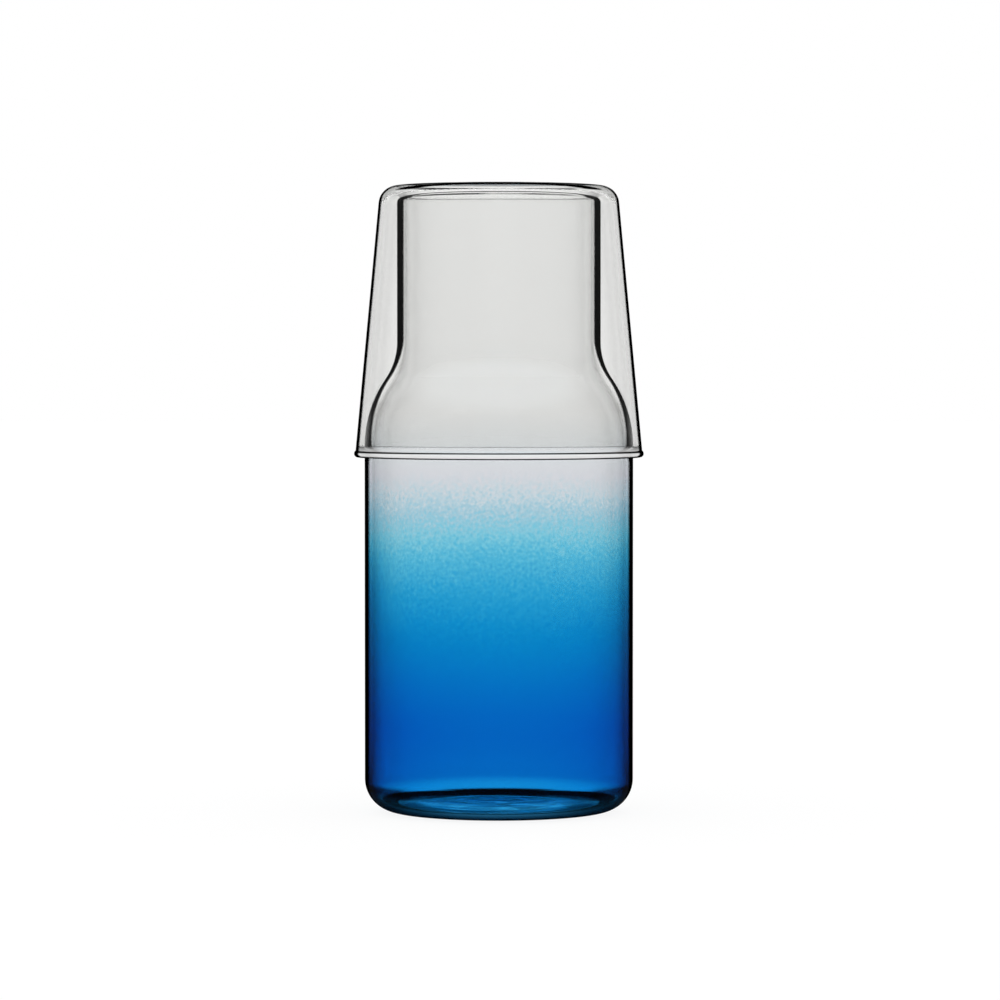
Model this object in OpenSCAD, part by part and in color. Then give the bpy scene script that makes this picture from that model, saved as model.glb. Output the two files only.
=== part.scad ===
// Bedside carafe with a drinking tumbler upside down over its neck.
// Both are blown glass, round about the Z axis. The origin is the middle of the base, on the
// surface that the carafe stands on, with Z up. All sizes are in millimetres.

/* [Carafe body] */
// Outer diameter of the straight body
body_d = 72.6; // [66:0.2:84]
// Height at which the straight body ends and the shoulder begins
body_h = 98.6; // [80:0.2:120]
// Thickness of the wall of body, shoulder and neck
wall_t = 1.8; // [1.2:0.1:3]

/* [Carafe base] */
// Thickness of the base
base_t = 1.6; // [1.2:0.1:5]
// Outer radius of the corner between body and base
foot_r = 8.8; // [5:0.2:12]
// Width of the flat ring that the carafe stands on
ring_w = 6; // [3:0.5:12]
// Height that the middle of the base is pushed up
punt_h = 1; // [0.4:0.2:6]

/* [Carafe shoulder and neck] */
// Height of the shoulder, from the straight body to the straight neck
shoulder_h = 28.4; // [22:0.2:40]
// Outer diameter of the straight neck
neck_d = 55; // [46:0.2:60]
// Outer radius of the hollow curve where the shoulder runs into the neck
hollow_r = 17.6; // [8:0.2:24]
// Length of the straight neck, from the shoulder to the top of the lip
neck_h = 40.2; // [25:0.1:60]

/* [Tumbler] */
// Thickness of the tumbler wall
cup_wall_t = 1.3; // [1:0.1:2.5]
// Thickness of the tumbler base
cup_base_t = 1.7; // [1.4:0.1:5]
// Outer radius of the corner between tumbler wall and base
cup_corner_r = 5; // [3:0.2:8]
// Inner radius of the same corner
cup_inside_r = 3.6; // [1.6:0.2:5]
// Thickness of the rounded rim round the tumbler mouth
rim_t = 2; // [1.6:0.1:3.2]

/* [Fits] */
// Gap between the carafe lip and the tumbler floor that comes to rest on it
seat_gap = 0.2; // [0.1:0.05:0.5]
// Gap round the top of the body, inside the tumbler
mouth_gap = 1.05; // [0.5:0.05:3]
// Gap round the neck, to the tumbler wall carried on up to the floor
lip_gap = 3.4; // [2:0.1:6]
// Distance that the tumbler mouth reaches down past the shoulder
mouth_drop = 2.8; // [1:0.2:10]

/* [Hidden] */
$fn = 240;

// Carafe outside, from the ground up
body_r = body_d / 2;
neck_r = neck_d / 2;
lip_z = body_h + shoulder_h + neck_h;

// The shoulder is two arcs that run into each other: a swell on the body and a hollow at the neck
step = body_r - neck_r;
swell_r = (step * step + shoulder_h * shoulder_h) / (2 * step) - hollow_r;
swell_c = [body_r - swell_r, body_h];
hollow_c = [neck_r + hollow_r, body_h + shoulder_h];

// The punt under the base is a shallow cap of a ball
punt_r = body_r - foot_r - ring_w;
punt_ball_r = (punt_r * punt_r + punt_h * punt_h) / (2 * punt_h);

// Tumbler, upside down: its floor lies on the lip and its mouth hangs round the body
floor_z = lip_z + seat_gap;
top_z = floor_z + cup_base_t;
mouth_z = body_h - mouth_drop;
floor_r = neck_r + lip_gap;
taper = (body_r + mouth_gap - floor_r) / (floor_z - body_h);
slant = atan(taper);

// Half-plane to the right of the axis, where a section has to lie
module right_of_axis() {
    translate([0, -lip_z])
        square([2 * body_d, 4 * lip_z]);
}

// Column on the axis with a rounded lower corner
module rounded_column(r, corner_r, bottom, top) {
    translate([0, bottom + corner_r])
        square([r, top - bottom - corner_r]);
    translate([0, bottom])
        square([r - corner_r, 2 * corner_r]);
    translate([r - corner_r, bottom + corner_r])
        circle(r = corner_r);
}

// Body, shoulder and neck filled to the axis, drawn in by inset from the outside of the glass
module bottle_outline(inset, bottom, top) {
    reach = swell_r + body_r;
    intersection() {
        right_of_axis();
        union() {
            rounded_column(body_r - inset, foot_r - inset, bottom, body_h);
            translate(swell_c)
                circle(r = swell_r - inset);
            difference() {
                polygon([[-reach, swell_c.y], swell_c, hollow_c, [-reach, hollow_c.y]]);
                translate(hollow_c)
                    circle(r = hollow_r + inset);
            }
            translate([0, hollow_c.y])
                square([neck_r - inset, top - hollow_c.y]);
        }
    }
}

// Ball that pushes the base up, grown by the thickness of glass above it
module punt_ball(grow) {
    translate([0, punt_h - punt_ball_r])
        circle(r = punt_ball_r + grow);
}

// Blown carafe: base with its punt, body, shoulder, neck and lip in one piece of glass
module carafe() {
    lip_mid = lip_z - wall_t / 2;
    color([0.10, 0.46, 0.78, 0.6])
        rotate_extrude()
            intersection() {
                right_of_axis();
                union() {
                    difference() {
                        bottle_outline(0, 0, lip_mid);
                        punt_ball(0);
                        difference() {
                            bottle_outline(wall_t, base_t, lip_z);
                            punt_ball(base_t);
                        }
                    }
                    translate([neck_r - wall_t / 2, lip_mid])
                        circle(d = wall_t);
                }
            }
}

// Tapered column with a rounded upper corner: side_r is the radius that the side reaches at the top
module tapered_column(side_r, corner_r, bottom, top) {
    corner_c = [side_r + corner_r * taper - corner_r / cos(slant), top - corner_r];
    polygon([
        [0, bottom],
        [side_r + taper * (top - bottom), bottom],
        corner_c + corner_r * [cos(slant), sin(slant)],
        [corner_c.x, top],
        [0, top]
    ]);
    translate(corner_c)
        circle(r = corner_r);
}

// Blown tumbler, base uppermost
module tumbler() {
    rim_mid = mouth_z + rim_t / 2;
    wall_across = cup_wall_t / cos(slant);
    rim_c = [floor_r + taper * (floor_z - rim_mid) + wall_across / 2, rim_mid];
    color([0.86, 0.89, 0.90, 0.35])
        rotate_extrude()
            union() {
                difference() {
                    tapered_column(floor_r + wall_across - taper * cup_base_t, cup_corner_r, rim_mid, top_z);
                    tapered_column(floor_r, cup_inside_r, mouth_z, floor_z);
                }
                translate(rim_c)
                    circle(d = rim_t);
            }
}

carafe();
tumbler();
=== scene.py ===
# Looks of a bedside carafe with a tumbler upside down over its neck.
# Both glass pieces are turned from their outlines, which follow the imported solids, and get their
# finish here: clear glass with painted shade, which darkens it where the eye looks along a wall, and
# a sprayed blue coat that fades out up the body. Outlines are in millimetres, Blender's own lengths in
# metres.
import math

import bpy
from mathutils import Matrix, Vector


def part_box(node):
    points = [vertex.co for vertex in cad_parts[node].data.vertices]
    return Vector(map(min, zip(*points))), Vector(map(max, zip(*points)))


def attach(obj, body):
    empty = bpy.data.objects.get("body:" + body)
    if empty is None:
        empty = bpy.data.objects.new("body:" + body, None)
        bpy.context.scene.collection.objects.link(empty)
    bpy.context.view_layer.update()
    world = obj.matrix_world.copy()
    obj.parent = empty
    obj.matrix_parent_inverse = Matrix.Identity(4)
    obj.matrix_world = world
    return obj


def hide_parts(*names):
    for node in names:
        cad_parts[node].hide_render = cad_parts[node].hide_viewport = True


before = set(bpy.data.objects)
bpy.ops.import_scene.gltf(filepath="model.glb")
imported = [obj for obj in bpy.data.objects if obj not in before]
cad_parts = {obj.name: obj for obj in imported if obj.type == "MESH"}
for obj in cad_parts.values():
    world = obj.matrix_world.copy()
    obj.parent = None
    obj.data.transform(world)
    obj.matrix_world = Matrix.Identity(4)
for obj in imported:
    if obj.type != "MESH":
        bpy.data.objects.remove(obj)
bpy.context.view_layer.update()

MM = 0.001
TINY = 1e-6

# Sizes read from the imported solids
carafe_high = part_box("carafe")[1]
tumbler_low, tumbler_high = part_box("tumbler")
body_r = carafe_high.x / MM
lip_z = carafe_high.z / MM
top_z = tumbler_high.z / MM
mouth_z = tumbler_low.z / MM
rim_r = tumbler_high.x / MM

# Carafe sizes, as in the solids
wall_t = 1.8
base_t = 1.6
foot_r = 8.8
ring_w = 6.0
punt_h = 1.0
body_h = 98.6
shoulder_h = 28.4
neck_r = 27.5
hollow_r = 17.6

# Tumbler sizes, as in the solids
cup_wall_t = 1.3
cup_base_t = 1.7
cup_corner_r = 5.0
cup_inside_r = 3.6
rim_t = 2.0
floor_r = 30.9

# Small hollow fillet where the rim's bead runs into the wall
rim_fillet_r = 0.15

# Centres and angles of the carafe's outline
step = body_r - neck_r
swell_r = (step ** 2 + shoulder_h ** 2) / (2 * step) - hollow_r
sweep_deg = math.degrees(2 * math.atan(step / shoulder_h))
foot_c = (body_r - foot_r, foot_r)
inner_foot_c = (body_r - foot_r, base_t + foot_r - wall_t)
swell_c = (body_r - swell_r, body_h)
hollow_c = (neck_r + hollow_r, body_h + shoulder_h)
punt_r = body_r - foot_r - ring_w
lip_c = (neck_r - wall_t / 2, lip_z - wall_t / 2)

# Slant of the tumbler's outline, base uppermost
floor_z = top_z - cup_base_t
rim_mid = mouth_z + rim_t / 2
proud = (rim_t - cup_wall_t) / 2
taper = (rim_r - proud - cup_wall_t - floor_r) / (floor_z - rim_mid)
slant_deg = math.degrees(math.atan(taper))
out_wall = (math.cos(math.radians(slant_deg)), math.sin(math.radians(slant_deg)))

# Mesh fineness: points round a piece, degrees between the points of an arc, parts of a straight line
SEGMENTS = 256
ARC_STEP_DEG = 3.0
SWELL_STEP_DEG = 1.0
HOLLOW_STEP_DEG = 1.5
CORNER_STEP_DEG = 5.0
LIP_STEP_DEG = 6.0
RIM_STEP_DEG = 8.0
WALL_PARTS = 40
NECK_PARTS = 16
RING_PARTS = 8
FLAT_PARTS = 12
PUNT_PARTS = 60
FLOOR_PARTS = 80

# Swirl in the carafe's base: height, and the distance from the axis over which it sets in.
# A wave is (strength, spacing in millimetres, arms, start, wobble)
RIPPLE_H = 0.10
RIPPLE_EYE_R = 3.0
RIPPLE_WAVES = [(1.0, 9.0, 1, 0.0, 0.7), (0.6, 6.5, -2, 1.3, 0.0), (0.3, 4.1, 3, 0.5, 0.0)]
WOBBLE_ARMS = 2
WOBBLE_START = 0.4

# Glass, and the faint waves of blown glass
GLASS_IOR = 1.47
GLASS_ROUGHNESS = 0.0
WAVE_SCALE = 45.0
WAVE_DETAIL = 1.0
WAVE_DEPTH = 0.000004
CARAFE_CLEAR = (0.98, 0.985, 0.985)
TUMBLER_CLEAR = (0.99, 0.99, 0.988)
TUMBLER_FLAT = (0.99, 0.99, 0.985)
TUMBLER_SMOKE = (0.99, 0.99, 0.978)
RIM_CLEAR = (0.97, 0.97, 0.97)
# Colour and roughness of the painted highlights
GLEAM_WHITE = (0.95, 0.95, 0.95)
GLEAM_ROUGHNESS = 0.3
WHITE = (1.0, 1.0, 1.0)
BLACK = (0.0, 0.0, 0.0)

# A range, here and below, is (from, to) or (from, to, value at from, value at to).
# Facing over which the inside of the glass is painted dark as shade, and over which light is let straight
# through instead
TRAPPED_SHADE = (0.42, 0.60)
TRAPPED_CLEAR = (0.26, 0.30)
LEVEL_MIN = 0.02

# Facing at which an edge is painted dark as shade, and the facing that it takes to do so
EDGE_WALL = 0.735
EDGE_BODY = 0.70
EDGE_SHOULDER = 0.65
EDGE_NECK = 0.62
EDGE_TUMBLER = 0.757
EDGE_SOFT = 0.05
EDGE_BODY_SOFT = 0.085

# The painted edge line is thinner on a slope, by up to this much facing
EDGE_SLOPE = 0.24
EDGE_SLOPE_SHOULDER = 0.20
EDGE_SLOPE_TUMBLER = 0.08

# Heights in millimetres over which one kind of painted edge gives way to the next
SHOULDER_FOOT = (94.0, 99.0)
NECK_FOOT = (114.0, 128.0)
SLOPE_CHANGE = (40.0, 90.0)
LIP_FLARE = (lip_z - 1.8, lip_z - 1.0, 0.0, -0.16)
LIP_EVEN = (lip_z - 2.4, lip_z - 1.2, 1.0, 0.0)

# Painted shade: grey by facing, multiplied into the glass's colour, that darkens a wall as it turns away
# from the eye
FALL_OFF_SHADE = [(0.25, 1.0), (0.457, 0.95), (0.601, 0.73), (0.679, 0.60), (0.78, 0.42)]
TUMBLER_FALL_OFF_SHADE = [(0.40, 1.0), (0.62, 0.94), (0.70, 0.78)]

# How strongly this painted shade falls off on the carafe, by height, and how much more at the heel, by
# slope
FALL_DEPTH = (25.0, 92.0, 3.3, 0.1)
HEEL_DEPTH = 2.2
HEEL_DOWN = (0.0, 0.22)

# Painted shade of navy at the sides of the heel: its colour, its heights, and how far it reaches round to
# the front
HEEL_NAVY_SHADE = (0.30, 0.03, 0.04)
NAVY_FOOT = (0.5, 2.0)
NAVY_TOP = (7.4, 8.8, 1.0, 0.0)
NAVY_STRONG = (4.6, 6.4, 0.6, 1.0)
NAVY_SIDES = (0.64, 0.84, 1.0, 0.0)

# Colour that the carafe's two walls pass together, by height in millimetres
RAMP_TOP = 170.0
COAT = [
    (0.0, (0.12, 0.50, 0.92)),
    (3.5, (0.022, 0.49, 0.90)),
    (6.2, (0.0008, 0.165, 0.60)),
    (9.0, (0.0006, 0.150, 0.585)),
    (23.0, (0.0004, 0.135, 0.588)),
    (34.0, (0.0006, 0.185, 0.615)),
    (47.5, (0.0022, 0.272, 0.648)),
    (58.5, (0.022, 0.380, 0.708)),
    (69.0, (0.100, 0.535, 0.775)),
    (74.5, (0.240, 0.650, 0.810)),
    (80.0, (0.385, 0.650, 0.780)),
    (85.5, (0.610, 0.740, 0.810)),
    (91.0, (0.750, 0.765, 0.810)),
    (97.0, (0.800, 0.830, 0.850)),
    (108.0, (0.920, 0.920, 0.915)),
    (127.0, (0.960, 0.960, 0.955)),
    (165.0, (0.985, 0.985, 0.980)),
]

# Grain and clouds of the spray: how far they move the colour up or down, and the heights between which
NOISE_MIDDLE = 0.5
SPRAY_GRAIN_SCALE = 1100.0
SPRAY_GRAIN_DETAIL = 2.0
SPRAY_GRAIN_MM = 20.0
SPRAY_CLOUD_SCALE = 70.0
SPRAY_CLOUD_DETAIL = 3.0
SPRAY_CLOUD_MM = 5.0
SPRAY_START = (20.0, 60.0)
SPRAY_END = (84.0, 97.0, 1.0, 0.0)

# Layers of coat that the eye looks through: low down by a power of the cosine, by facing where it fades
COSINE_MIN = 0.15
COSINE_POWER = -0.4
FADED_LAYERS = (0.35, 0.75, 1.0, 2.1)
FADING = (45.0, 72.0)

# Painted shade along the carafe's lip: a dark line on top, by slope, and an uneven one just under it, by
# height
LIP_SHARE = 1.0
LIP_RISE = (0.40, 0.55)
LIP_LOWER_Z = lip_z - wall_t / 2 - 0.1
LIP_LOWER_LINE = (0.12, 0.30, 1.0, 0.0)
LIP_UNEVEN_SCALE = 55.0
LIP_UNEVEN_DETAIL = 1.0
LIP_UNEVEN = (0.40, 0.60, 0.10, 1.0)

# Facing by which a painted line is held back where the eye looks square onto it
SQUARE_ON = (0.08, 0.28, 0.5, 1.0)

# Inside of the carafe, all painted shade: line at its wall's edge, dark end of the heel, skimmed floor,
# streaks
INSIDE_LINE = 0.15
HEEL_INSIDE_RISE = (0.74, 0.82)
SKIM_SOFT = (0.83, 0.93, 0.1, 0.65)
SKIM_FULL = (0.94, 0.965)
FLOOR_EYE = 0.09
FLOOR_EYE_DARK = (0.90, 0.95, 0.0, 0.8)
STREAK_SCALE = 130.0
STREAK_DETAIL = 2.0
STREAK = (0.48, 0.62, 0.0, 0.4)
STREAK_FACING = (0.60, 0.80)

# Blotches of the thin coat under the base
BLOTCH_SCALE = 110.0
BLOTCH_DETAIL = 2.0
BLOTCHES = [(0.44, 0.22), (0.56, 1.0)]

# Rim of the tumbler: painted dark lines above and below by slope, as shade, and shares of painted line and
# painted highlight
RIM_ASIDE = 0.3
RIM_ABOVE = (0.42, 0.58)
RIM_BELOW = (0.65, 0.85)
RIM_LINE = 0.97
RIM_GLEAM = 0.8
RIM_INSIDE_LINE = 0.5
RIM_INSIDE_GLEAM = 0.3

# Tumbler outside: painted highlight above the rim, upper corner, and the painted dark arch along it, as
# shade, with its gap at the sides
GLEAM = (mouth_z + 2.2, mouth_z + 3.4, 0.45, 0.0)
CORNER = (top_z - cup_corner_r - 2.0, top_z - cup_corner_r)
CORNER_EDGE_RISE = (0.80, 0.95, 1.0, 0.0)
GAP_FACING = (0.68, 0.73)
GAP_AHEAD = (0.68, 0.80, 1.0, 0.0)
ARCH_FACING = (0.50, 0.56)
ARCH_RISE = (0.62, 0.70)
ARCH_AHEAD = (0.36, 0.44)

# The studio is white all round, and much dimmer where a gloss throws the eye back at it
STUDIO_STRAIGHT = 0.04
STUDIO_INSIDE = 0.10
STUDIO_BEHIND = (0.66, 0.82)
STUDIO_OVERHEAD = (0.45, 0.75, 0.0, 0.9)

# Pale floor that reads as white and keeps a soft shadow, in metres
FLOOR_R = 8.0
FLOOR_DROP = 0.0003
FLOOR_PALE = (0.9, 0.9, 0.9)
FLOOR_WHITE = 1.025
FLOOR_GLOW = 0.88
FLOOR_NEAR = (0.05, 0.16, 0.21, 0.0)

# Camera at the photograph's place, level with the neck and looking slightly down, in metres
CAMERA_DISTANCE = 1.2322
CAMERA_HEIGHT = 0.1216
CAMERA_ASIDE = 0.0003
CAMERA_TILT_DEG = 1.738
CAMERA_LENS = 164.0
CAMERA_SENSOR = 36.0
CAMERA_CLIP = 100.0
GLASS_BOUNCES = 40
GLOSS_BOUNCES = 12


def on_circle(centre, radius, angle_deg):
    """Point of an outline on a circle."""
    a = math.radians(angle_deg)
    return (centre[0] + radius * math.cos(a), centre[1] + radius * math.sin(a))


def arc(centre, radius, start_deg, end_deg, step_deg=ARC_STEP_DEG):
    """Points along a round stretch of an outline, ends included."""
    count = max(2, math.ceil(abs(end_deg - start_deg) / step_deg))
    sweep = end_deg - start_deg
    return [on_circle(centre, radius, start_deg + sweep * i / count) for i in range(count + 1)]


def line(start, end, count):
    """Points along a straight stretch of an outline, ends included."""
    return [
        (start[0] + (end[0] - start[0]) * i / count, start[1] + (end[1] - start[1]) * i / count)
        for i in range(count + 1)
    ]


def direction_deg(start, end):
    """Direction from one point of an outline to another."""
    return math.degrees(math.atan2(end[1] - start[1], end[0] - start[0]))


def turned(name, stretches, materials, ripple=None):
    """Turns an outline, which starts and ends on the axis, about Z. A stretch is (points, material
    number, rippled). ripple(r, angle) lifts the points of the rippled stretches, never below the ground."""
    rings = []
    for points, number, rippled in stretches:
        for point in points:
            if rings and math.dist(point, rings[-1][0]) < TINY:
                continue
            rings.append((point, number, rippled))
    vertices = []
    first = []
    for (r, z), _, rippled in rings:
        first.append(len(vertices))
        count = SEGMENTS if r > TINY else 1
        for k in range(count):
            angle = 2 * math.pi * k / SEGMENTS
            lift = ripple(r, angle) if ripple and rippled else 0.0
            level = max(z + lift, 0.0)
            vertices.append((r * math.cos(angle) * MM, r * math.sin(angle) * MM, level * MM))
    faces = []
    numbers = []
    for i in range(len(rings) - 1):
        near, far = first[i], first[i + 1]
        near_pole = rings[i][0][0] <= TINY
        far_pole = rings[i + 1][0][0] <= TINY
        for k in range(SEGMENTS):
            n = (k + 1) % SEGMENTS
            if near_pole:
                faces.append((near, far + n, far + k))
            elif far_pole:
                faces.append((near + k, near + n, far))
            else:
                faces.append((near + k, near + n, far + n, far + k))
            numbers.append(rings[i + 1][1])
    mesh = bpy.data.meshes.new(name)
    mesh.from_pydata(vertices, [], faces)
    mesh.polygons.foreach_set("material_index", numbers)
    mesh.polygons.foreach_set("use_smooth", [True] * len(faces))
    for look in materials:
        mesh.materials.append(look)
    mesh.update()
    piece = bpy.data.objects.new(name, mesh)
    bpy.context.scene.collection.objects.link(piece)
    return piece


def opaque(colour):
    """A colour with its alpha."""
    return (*colour, 1.0)


class Shader:
    """The nodes of a material or a world, and short ways to add to them."""

    def __init__(self, owner):
        self.owner = owner
        owner.use_nodes = True
        self.tree = owner.node_tree
        self.tree.nodes.clear()

    def add(self, kind, inputs=None, **settings):
        node = self.tree.nodes.new(kind)
        for key, value in settings.items():
            setattr(node, key, value)
        for socket, value in (inputs or {}).items():
            self.feed(node.inputs[socket], value)
        return node

    def feed(self, socket, value):
        if isinstance(value, bpy.types.NodeSocket):
            self.tree.links.new(value, socket)
        else:
            socket.default_value = value

    def math(self, operation, a, b=0.0):
        return self.add("ShaderNodeMath", {0: a, 1: b}, operation=operation).outputs[0]

    def product(self, a, b):
        return self.math("MULTIPLY", a, b)

    def most(self, a, b):
        return self.math("MAXIMUM", a, b)

    def rest(self, share):
        """What a share leaves of 1."""
        return self.math("SUBTRACT", 1.0, share)

    def eased(self, value, low, high, to_low=0.0, to_high=1.0):
        """value carried from low..high to to_low..to_high with soft ends."""
        inputs = {"Value": value, "From Min": low, "From Max": high, "To Min": to_low, "To Max": to_high}
        node = self.add("ShaderNodeMapRange", inputs, interpolation_type="SMOOTHSTEP")
        return node.outputs["Result"]

    def ramp(self, value, stops):
        """Colour by value: stops are (position, (red, green, blue))."""
        node = self.add("ShaderNodeValToRGB", {"Fac": value})
        elements = node.color_ramp.elements
        while len(elements) < len(stops):
            elements.new(1.0)
        for element, (position, colour) in zip(elements, stops):
            element.position = position
            element.color = opaque(colour)
        return node.outputs["Color"]

    def greys(self, value, stops):
        """Number by value: stops are (position, number)."""
        return self.ramp(value, [(position, (grey, grey, grey)) for position, grey in stops])

    def times(self, a, b):
        """Two colours multiplied. The numbers are the sockets of the colour kind of this node."""
        node = self.add("ShaderNodeMix", data_type="RGBA", blend_type="MULTIPLY")
        self.feed(node.inputs[0], 1.0)
        self.feed(node.inputs[6], a)
        self.feed(node.inputs[7], b)
        return node.outputs[2]

    def power(self, colour, exponent):
        return self.add("ShaderNodeGamma", {"Color": colour, "Gamma": exponent}).outputs[0]

    def place(self):
        """Place on the piece, in metres."""
        return self.add("ShaderNodeTexCoord").outputs["Object"]

    def noise(self, scale, detail):
        inputs = {"Vector": self.place(), "Scale": scale, "Detail": detail}
        return self.add("ShaderNodeTexNoise", inputs).outputs["Fac"]

    def height(self):
        """Height on the piece, in millimetres."""
        z = self.add("ShaderNodeSeparateXYZ", {0: self.place()}).outputs["Z"]
        return self.math("DIVIDE", z, MM)

    def facing(self):
        """0 where the surface is seen square on, 1 where the eye looks along it."""
        return self.add("ShaderNodeLayerWeight", {"Blend": 0.5}).outputs["Facing"]

    def rise(self):
        """1 where the surface looks straight up, -1 straight down, 0 on an upright wall."""
        normal = self.add("ShaderNodeNewGeometry").outputs["Normal"]
        return self.add("ShaderNodeSeparateXYZ", {0: normal}).outputs["Z"]

    def ahead(self, facing):
        """1 where the surface is turned toward the eye, 0 where it is turned aside, whatever its slope."""
        rise = self.rise()
        level = self.math("SQRT", self.rest(self.product(rise, rise)))
        return self.math("DIVIDE", self.rest(facing), self.most(level, LEVEL_MIN))

    def back(self):
        """1 on the side of the surface that looks into the glass."""
        return self.add("ShaderNodeNewGeometry").outputs["Backfacing"]

    def front(self):
        """1 on the side of the surface that looks out into the air."""
        return self.rest(self.back())

    def trapped(self, facing, onset=TRAPPED_SHADE):
        """Share where light would run along inside the glass and not get out: painted dark as shade in some
        materials, let straight through in others.
        """
        within = self.back()
        return self.product(within, self.eased(facing, *onset))

    def waves(self):
        """Faint unevenness of blown glass, as a normal."""
        height = self.noise(WAVE_SCALE, WAVE_DETAIL)
        inputs = {"Strength": 1.0, "Distance": WAVE_DEPTH, "Height": height}
        return self.add("ShaderNodeBump", inputs).outputs["Normal"]

    def glass(self, colour):
        """Glass that passes a colour, with the waves of blown glass."""
        inputs = {
            "Base Color": colour,
            "Roughness": GLASS_ROUGHNESS,
            "IOR": GLASS_IOR,
            "Transmission Weight": 1.0,
            "Normal": self.waves(),
        }
        return self.add("ShaderNodeBsdfPrincipled", inputs).outputs["BSDF"]

    def mixed(self, share, shader, other):
        return self.add("ShaderNodeMixShader", {0: share, 1: shader, 2: other}).outputs[0]

    def painted_dark(self, shader, share):
        """shader with a share of black mixed in: painted shade, standing in for light lost in the depth of
        the glass.
        """
        inputs = {"Base Color": opaque(BLACK), "Roughness": 1.0, "Specular IOR Level": 0.0}
        dark = self.add("ShaderNodeBsdfPrincipled", inputs).outputs["BSDF"]
        return self.mixed(share, shader, dark)

    def lit(self, shader, share):
        """shader with a share of soft white mixed in: a painted highlight, where a rounding gathers light
        from all round.
        """
        inputs = {"Base Color": opaque(GLEAM_WHITE), "Roughness": GLEAM_ROUGHNESS}
        white = self.add("ShaderNodeBsdfPrincipled", inputs).outputs["BSDF"]
        return self.mixed(self.product(share, self.front()), shader, white)

    def passed(self, shader, share):
        """shader with a share of the light let straight through."""
        clear = self.add("ShaderNodeBsdfTransparent").outputs[0]
        return self.mixed(share, shader, clear)

    def behind(self, backward):
        """1 toward the bright panel behind the object, from the backward part of a direction."""
        return self.eased(backward, *STUDIO_BEHIND)

    def dimming(self, overhead=0.0, behind=0.0):
        """Share of the studio's light that is missing by way of a gloss: most of it straight off a surface,
        less by way of a reflection inside the glass, little where the lamps are, overhead and behind."""
        path = self.add("ShaderNodeLightPath").outputs
        plain = self.rest(path["Is Diffuse Ray"])
        straight = self.product(path["Is Reflection Ray"], plain)
        any_gloss = self.math("MINIMUM", path["Glossy Depth"], 1.0)
        inside = self.product(any_gloss, self.rest(straight))
        off_top = self.rest(overhead)
        off_both = self.product(off_top, self.rest(behind))
        straight_dim = self.product(self.product(straight, off_top), 1 - STUDIO_STRAIGHT)
        inside_dim = self.product(self.product(inside, off_both), 1 - STUDIO_INSIDE)
        return self.math("ADD", straight_dim, inside_dim)

    def finish(self, shader, kind="ShaderNodeOutputMaterial"):
        self.add(kind, {"Surface": shader})
        return self.owner


def material(name):
    return Shader(bpy.data.materials.new(name))


def coat_colour(s):
    """The sprayed coat: deep blue at the foot, grainy where it thins, clear at the shoulder."""
    grain = s.math("SUBTRACT", s.noise(SPRAY_GRAIN_SCALE, SPRAY_GRAIN_DETAIL), NOISE_MIDDLE)
    cloud = s.math("SUBTRACT", s.noise(SPRAY_CLOUD_SCALE, SPRAY_CLOUD_DETAIL), NOISE_MIDDLE)
    height = s.height()
    strength = s.product(s.eased(height, *SPRAY_START), s.eased(height, *SPRAY_END))
    spread = s.product(grain, SPRAY_GRAIN_MM)
    spread = s.math("ADD", spread, s.product(cloud, SPRAY_CLOUD_MM))
    height = s.math("ADD", height, s.product(spread, strength))
    stops = [(z / RAMP_TOP, colour) for z, colour in COAT]
    return s.ramp(s.math("DIVIDE", height, RAMP_TOP), stops)


def coat_layers(s, facing, height):
    """How many layers of the coat the eye looks through."""
    cosine = s.most(s.rest(facing), COSINE_MIN)
    thick = s.math("POWER", cosine, COSINE_POWER)
    thin = s.eased(facing, *FADED_LAYERS)
    fading = s.eased(height, *FADING)
    layers = s.product(thick, s.rest(fading))
    return s.math("ADD", layers, s.product(thin, fading))


def heel_navy_shade(s, facing, height):
    """Painted shade: navy at the sides of the heel, white elsewhere."""
    band = s.product(s.eased(height, *NAVY_FOOT), s.eased(height, *NAVY_TOP))
    band = s.product(band, s.eased(height, *NAVY_STRONG))
    aside = s.product(band, s.eased(s.ahead(facing), *NAVY_SIDES))
    return s.ramp(aside, [(0.0, WHITE), (1.0, HEEL_NAVY_SHADE)])


def edge_start(s, wall_start, thinning):
    """Facing at which the edge is painted dark as shade, from the value for upright walls and the slope."""
    slope = s.math("ABSOLUTE", s.rise())
    return s.math("ADD", wall_start, s.product(slope, thinning))


def low_only(s, share):
    """share, held back where the eye looks square onto the surface."""
    return s.product(share, s.eased(s.facing(), *SQUARE_ON))


def lip_shade_line(s, share):
    """Painted shade: a dark line along the top of the carafe's lip."""
    near_lip = s.eased(s.height(), lip_z - wall_t, lip_z - wall_t / 2, 0.0, share)
    return low_only(s, s.product(near_lip, s.eased(s.rise(), *LIP_RISE)))


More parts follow.
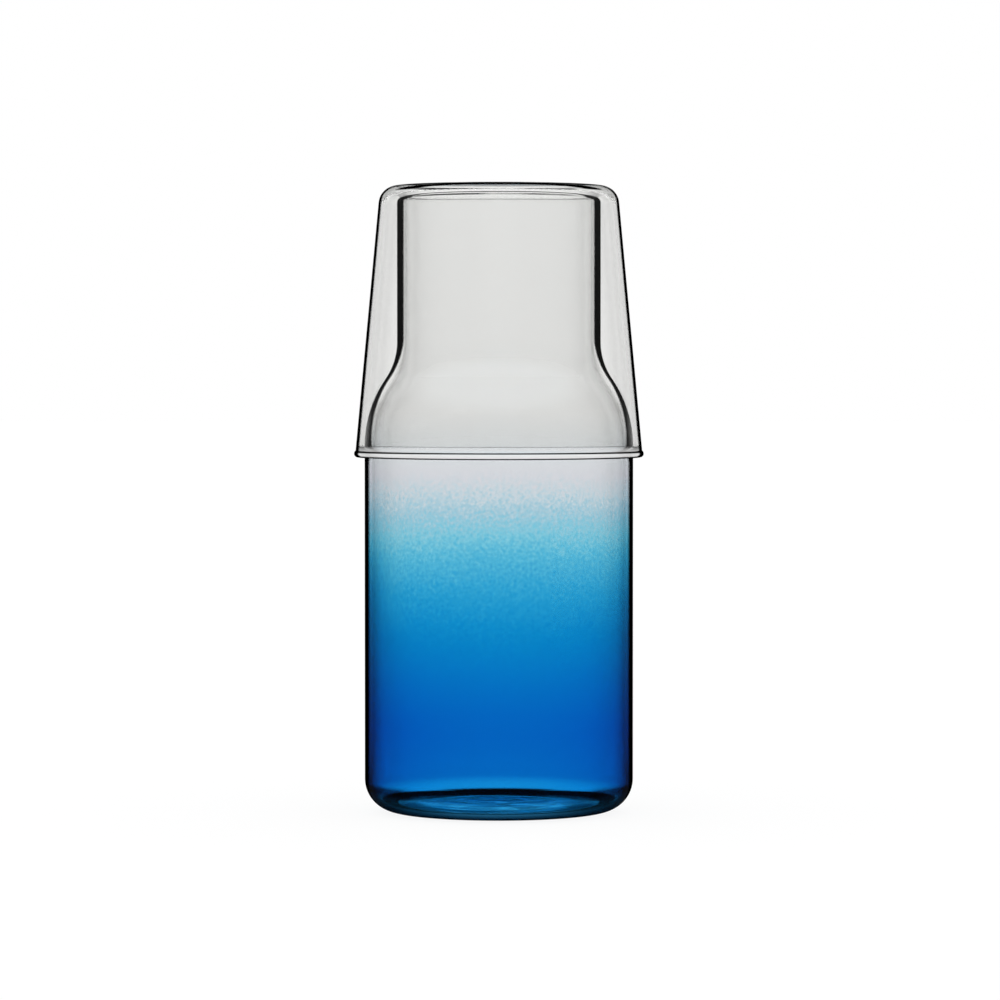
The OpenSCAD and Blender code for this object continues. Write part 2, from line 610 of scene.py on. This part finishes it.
def carafe_outside():
    """Outer face of the carafe: coat, with painted shade for the fall-off to the edges, the heel's navy
    sides, dark edges and lip lines.
    """
    s = material("carafe_outside")
    facing = s.facing()
    height = s.height()
    heel = s.eased(s.product(s.rise(), -1.0), *HEEL_DOWN)
    layers = coat_layers(s, facing, height)
    coat = s.power(coat_colour(s), layers)
    depth = s.math("ADD", s.eased(height, *FALL_DEPTH), s.product(heel, HEEL_DEPTH))
    # Painted shade, darker toward the edges and more so at the heel
    fall = s.power(s.greys(facing, FALL_OFF_SHADE), depth)
    # Painted shade of navy at the heel's sides
    navy = heel_navy_shade(s, facing, height)
    shader = s.glass(s.times(s.times(coat, fall), navy))
    shoulder = s.eased(height, *SHOULDER_FOOT, EDGE_BODY, EDGE_SHOULDER)
    soft = s.eased(height, *SHOULDER_FOOT, EDGE_BODY_SOFT, EDGE_SOFT)
    neck = s.eased(height, *NECK_FOOT, 0.0, EDGE_NECK - EDGE_SHOULDER)
    neck = s.math("ADD", neck, s.eased(height, *LIP_FLARE))
    thinning = s.eased(height, *SLOPE_CHANGE, EDGE_SLOPE, EDGE_SLOPE_SHOULDER)
    thinning = s.product(thinning, s.eased(height, *LIP_EVEN))
    past = s.math("SUBTRACT", facing, edge_start(s, s.math("ADD", shoulder, neck), thinning))
    lip = lip_shade_line(s, LIP_SHARE)
    below = s.math("ABSOLUTE", s.math("SUBTRACT", height, LIP_LOWER_Z))
    uneven = s.eased(s.noise(LIP_UNEVEN_SCALE, LIP_UNEVEN_DETAIL), *LIP_UNEVEN)
    uneven = s.product(uneven, s.front())
    lip = s.most(lip, s.product(uneven, s.eased(below, *LIP_LOWER_LINE)))
    # Painted shade: black mixed in along the lip's lines and past the edge's facing
    return s.finish(s.painted_dark(shader, s.most(lip, s.eased(past, 0.0, soft))))


def clear_inside(name, colour, line_share, lip_share):
    """The inner face of a wall: clear, with a faint dark line of painted shade where it is seen edge on and
    along a lip.
    """
    s = material(name)
    shader = s.glass(opaque(colour))
    edge = s.eased(s.facing(), EDGE_WALL, EDGE_WALL + EDGE_SOFT, 0.0, line_share)
    share = s.most(edge, lip_shade_line(s, lip_share))
    return s.finish(s.painted_dark(shader, share))


def carafe_heel_inside():
    """The round between floor and wall inside: painted shade, dark where it runs out into the floor."""
    s = material("carafe_heel_inside")
    shader = s.glass(opaque(CARAFE_CLEAR))
    share = low_only(s, s.product(s.front(), s.eased(s.rise(), *HEEL_INSIDE_RISE)))
    return s.finish(s.painted_dark(shader, share))


def carafe_floor():
    """Inside floor of the carafe: painted shade, dark where the eye skims over it, sooner toward its
    border.
    """
    s = material("carafe_floor")
    facing = s.facing()
    shader = s.glass(opaque(CARAFE_CLEAR))
    out = s.add("ShaderNodeVectorMath", {0: s.place()}, operation="LENGTH").outputs["Value"]
    out = s.math("DIVIDE", out, foot_c[0] * MM)
    # Painted shade: a dark band toward the floor's border, where the eye skims over it, and dark streaks
    bent = s.math("ADD", facing, s.product(s.product(out, out), FLOOR_EYE))
    streak = s.eased(s.noise(STREAK_SCALE, STREAK_DETAIL), *STREAK)
    skim_shade = s.most(s.eased(facing, *SKIM_SOFT), s.eased(facing, *SKIM_FULL))
    skim_shade = s.most(skim_shade, s.eased(bent, *FLOOR_EYE_DARK))
    skim_shade = s.most(skim_shade, s.product(streak, s.eased(facing, *STREAK_FACING)))
    share = s.most(s.trapped(facing), skim_shade)
    return s.finish(s.painted_dark(shader, share))


def carafe_base():
    """Underside of the base: the coat runs on over it, thinly, with painted shade where it is seen along
    from inside the glass.
    """
    s = material("carafe_base")
    blotch = s.greys(s.noise(BLOTCH_SCALE, BLOTCH_DETAIL), BLOTCHES)
    shader = s.glass(s.times(coat_colour(s), blotch))
    return s.finish(s.painted_dark(shader, s.trapped(s.facing())))


def rim(name, line_share, gleam_share):
    """The beaded rim: a painted highlight in its middle, between a painted dark line above and one below.
    """
    s = material(name)
    rise = s.rise()
    shader = s.lit(s.glass(opaque(RIM_CLEAR)), gleam_share)
    below = s.product(rise, -1.0)
    aside = s.product(s.facing(), RIM_ASIDE)
    above = s.eased(s.math("ADD", rise, aside), *RIM_ABOVE)
    below = s.eased(s.math("ADD", below, aside), *RIM_BELOW)
    lines = s.product(s.most(above, below), line_share)
    end = s.eased(s.facing(), EDGE_WALL, EDGE_WALL + EDGE_SOFT)
    return s.finish(s.painted_dark(shader, s.most(lines, end)))


def tumbler_outside():
    """Outer face of the tumbler: faint smoke grey; painted shade for dark edges and a dark arch along its
    upper corner; a painted highlight above the rim.
    """
    s = material("tumbler_outside")
    facing = s.facing()
    shader = s.glass(s.times(s.greys(facing, TUMBLER_FALL_OFF_SHADE), opaque(TUMBLER_SMOKE)))
    height = s.height()
    # Painted highlight above the rim
    shader = s.lit(shader, s.eased(height, *GLEAM))
    corner = s.eased(height, *CORNER)
    shader = s.passed(shader, s.product(corner, s.trapped(facing, TRAPPED_CLEAR)))
    past = s.math("SUBTRACT", facing, edge_start(s, EDGE_TUMBLER, EDGE_SLOPE_TUMBLER))
    # Painted shade: a dark edge and a dark arch along the upper corner
    edge = s.product(s.eased(past, 0.0, EDGE_SOFT), s.eased(s.rise(), *CORNER_EDGE_RISE))
    gap = s.product(s.eased(facing, *GAP_FACING), s.eased(s.ahead(facing), *GAP_AHEAD))
    arch = s.product(s.eased(facing, *ARCH_FACING), s.rest(gap))
    arch = s.product(arch, s.eased(s.rise(), *ARCH_RISE))
    arch = s.product(arch, s.eased(s.ahead(facing), *ARCH_AHEAD))
    dark = s.product(s.front(), s.most(arch, edge))
    return s.finish(s.painted_dark(shader, dark))


def clear_flat(name, colour):
    """Flat of the tumbler's base: light that would be trapped in it is let straight through."""
    s = material(name)
    shader = s.glass(opaque(colour))
    return s.finish(s.passed(shader, s.trapped(s.facing(), TRAPPED_CLEAR)))


def base_ripple(r, angle):
    """Swirl marks that the mould and the spinning leave in the middle of the base."""
    reach = foot_c[0]
    if r >= reach:
        return 0.0
    fade = math.cos(math.pi / 2 * r / reach)
    swirl = 0.0
    for strength, spacing, arms, start, wobble in RIPPLE_WAVES:
        sway = wobble * math.sin(WOBBLE_ARMS * angle + WOBBLE_START)
        swirl += strength * math.sin(2 * math.pi * r / spacing + arms * angle + start + sway)
    return RIPPLE_H * fade * swirl * min(1.0, r / RIPPLE_EYE_R)


def punt(height, reach, count):
    """Rise of the base to its middle, from the axis out to a reach."""
    return [(reach * i / count, height + punt_h * (1 - (i / count) ** 2)) for i in range(count + 1)]


def carafe_stretches():
    """Outline of the carafe, from the middle of its underside round to the middle of its floor."""
    outside, inside, base, floor, heel = range(5)
    neck_in = neck_r - wall_t
    body_in = body_r - wall_t
    return [
        (punt(0.0, punt_r, PUNT_PARTS), base, True),
        (line((punt_r, 0.0), (foot_c[0], 0.0), RING_PARTS), base, False),
        (arc(foot_c, foot_r, -90, 0), outside, False),
        (line((body_r, foot_r), (body_r, body_h), WALL_PARTS), outside, False),
        (arc(swell_c, swell_r, 0, sweep_deg, SWELL_STEP_DEG), outside, False),
        (arc(hollow_c, hollow_r, 180 + sweep_deg, 180, HOLLOW_STEP_DEG), outside, False),
        (line((neck_r, hollow_c[1]), (neck_r, lip_c[1]), NECK_PARTS), outside, False),
        (arc(lip_c, wall_t / 2, 0, 90, LIP_STEP_DEG), outside, False),
        (arc(lip_c, wall_t / 2, 90, 180, LIP_STEP_DEG), inside, False),
        (line((neck_in, lip_c[1]), (neck_in, hollow_c[1]), NECK_PARTS), inside, False),
        (arc(hollow_c, hollow_r + wall_t, 180, 180 + sweep_deg, HOLLOW_STEP_DEG), inside, False),
        (arc(swell_c, swell_r - wall_t, sweep_deg, 0, SWELL_STEP_DEG), inside, False),
        (line((body_in, body_h), (body_in, inner_foot_c[1]), WALL_PARTS), inside, False),
        (arc(inner_foot_c, foot_r - wall_t, 0, -90), heel, False),
        (punt(base_t, inner_foot_c[0], FLOOR_PARTS)[::-1], floor, True),
    ]


def corner_centre(side_r, corner_r, top):
    """Centre of the round between a side that would reach side_r at the top, and the top."""
    return (side_r + corner_r * taper - corner_r / out_wall[0], top - corner_r)


def tumbler_stretches():
    """Outline of the tumbler, from the middle of its floor round the rim to the middle of its base."""
    outside, inside, flat, outer_rim, inner_rim = range(5)
    outer_side_r = floor_r + cup_wall_t / out_wall[0] - taper * cup_base_t
    outer_c = corner_centre(outer_side_r, cup_corner_r, top_z)
    inner_c = corner_centre(floor_r, cup_inside_r, floor_z)
    rim_c = (rim_r - rim_t / 2, rim_mid)
    outer_end = on_circle(outer_c, cup_corner_r, slant_deg)
    inner_end = on_circle(inner_c, cup_inside_r, slant_deg)
    # The fillet lies rim_fillet_r outside the wall and touches the bead
    aside = (rim_c[0] - outer_end[0]) * out_wall[0] + (rim_c[1] - outer_end[1]) * out_wall[1]
    reach = rim_t / 2 + rim_fillet_r
    along = math.sqrt(reach ** 2 - (rim_fillet_r - aside) ** 2)
    fillet_c = (
        rim_c[0] + (rim_fillet_r - aside) * out_wall[0] - along * out_wall[1],
        rim_c[1] + (rim_fillet_r - aside) * out_wall[1] + along * out_wall[0],
    )
    fillet_start = on_circle(fillet_c, rim_fillet_r, 180 + slant_deg)
    meet_deg = direction_deg(fillet_c, rim_c)
    meet_in = math.degrees(math.acos(cup_wall_t / rim_t))
    wall_end = on_circle(rim_c, rim_t / 2, 180 + slant_deg - meet_in)
    return [
        (line((0.0, floor_z), (inner_c[0], floor_z), FLAT_PARTS), flat, False),
        (arc(inner_c, cup_inside_r, 90, slant_deg, CORNER_STEP_DEG), flat, False),
        (line(inner_end, wall_end, WALL_PARTS), inside, False),
        (arc(rim_c, rim_t / 2, slant_deg - 180 - meet_in, -90, RIM_STEP_DEG), inner_rim, False),
        (arc(rim_c, rim_t / 2, -90, meet_deg + 180, RIM_STEP_DEG), outer_rim, False),
        (arc(fillet_c, rim_fillet_r, meet_deg, slant_deg - 180, RIM_STEP_DEG), outer_rim, False),
        (line(fillet_start, outer_end, WALL_PARTS), outside, False),
        (arc(outer_c, cup_corner_r, slant_deg, 90), outside, False),
        (line((outer_c[0], top_z), (0.0, top_z), FLAT_PARTS), flat, False),
    ]


def floor_material():
    """White to the eye, pale to the light that falls on it, dim to a gloss that looks back at it."""
    s = material("floor")
    pale = s.add("ShaderNodeBsdfDiffuse", {"Color": opaque(FLOOR_PALE)}).outputs[0]
    white = s.add("ShaderNodeEmission", {"Color": opaque(WHITE), "Strength": FLOOR_WHITE}).outputs[0]
    path = s.add("ShaderNodeLightPath").outputs
    seen = s.most(path["Is Camera Ray"], path["Is Transmission Ray"])
    shader = s.mixed(s.product(seen, FLOOR_GLOW), pale, white)
    place = s.place()
    away = s.add("ShaderNodeVectorMath", {0: place}, operation="NORMALIZE").outputs[0]
    axes = s.add("ShaderNodeSeparateXYZ", {0: away}).outputs
    far = s.add("ShaderNodeVectorMath", {0: place}, operation="LENGTH").outputs["Value"]
    lit = s.most(s.behind(axes["Y"]), s.eased(far, *FLOOR_NEAR))
    return s.finish(s.painted_dark(shader, s.dimming(behind=lit)))


def studio_world():
    """White all round, with lamps overhead and behind for what a gloss looks back at."""
    s = Shader(bpy.data.worlds.new("studio"))
    direction = s.add("ShaderNodeTexCoord").outputs["Generated"]
    axes = s.add("ShaderNodeSeparateXYZ", {0: direction}).outputs
    overhead = s.eased(axes["Z"], *STUDIO_OVERHEAD)
    strength = s.rest(s.dimming(overhead, s.behind(axes["Y"])))
    light = s.add("ShaderNodeBackground", {"Color": opaque(WHITE), "Strength": strength})
    return s.finish(light.outputs[0], "ShaderNodeOutputWorld")


# The two pieces of glass
carafe = turned(
    "carafe_glass",
    carafe_stretches(),
    [
        carafe_outside(),
        clear_inside("carafe_inside", CARAFE_CLEAR, INSIDE_LINE, LIP_SHARE),
        carafe_base(),
        carafe_floor(),
        carafe_heel_inside(),
    ],
    base_ripple,
)
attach(carafe, "carafe")
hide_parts("carafe")

tumbler = turned(
    "tumbler_glass",
    tumbler_stretches(),
    [
        tumbler_outside(),
        clear_inside("tumbler_inside", TUMBLER_CLEAR, 0.0, 0.0),
        clear_flat("tumbler_base", TUMBLER_FLAT),
        rim("tumbler_rim", RIM_LINE, RIM_GLEAM),
        rim("tumbler_rim_inside", RIM_INSIDE_LINE, RIM_INSIDE_GLEAM),
    ],
)
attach(tumbler, "tumbler")
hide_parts("tumbler")

# Floor and studio
floor_mesh = bpy.data.meshes.new("floor")
floor_mesh.from_pydata(
    [(x * FLOOR_R, y * FLOOR_R, -FLOOR_DROP) for x, y in ((-1, -1), (1, -1), (1, 1), (-1, 1))],
    [],
    [(0, 1, 2, 3)],
)
floor = bpy.data.objects.new("floor", floor_mesh)
bpy.context.scene.collection.objects.link(floor)
floor_mesh.materials.append(floor_material())
bpy.context.scene.world = studio_world()

# Camera and view
camera_data = bpy.data.cameras.new("camera")
camera_data.lens = CAMERA_LENS
camera_data.sensor_width = CAMERA_SENSOR
camera_data.clip_end = CAMERA_CLIP
camera = bpy.data.objects.new("camera", camera_data)
camera.location = (CAMERA_ASIDE, -CAMERA_DISTANCE, CAMERA_HEIGHT)
camera.rotation_euler = (math.radians(90 - CAMERA_TILT_DEG), 0.0, 0.0)
bpy.context.scene.collection.objects.link(camera)
bpy.context.scene.camera = camera

scene = bpy.context.scene
scene.view_settings.view_transform = "Standard"
scene.cycles.max_bounces = GLASS_BOUNCES
scene.cycles.transmission_bounces = GLASS_BOUNCES
scene.cycles.glossy_bounces = GLOSS_BOUNCES
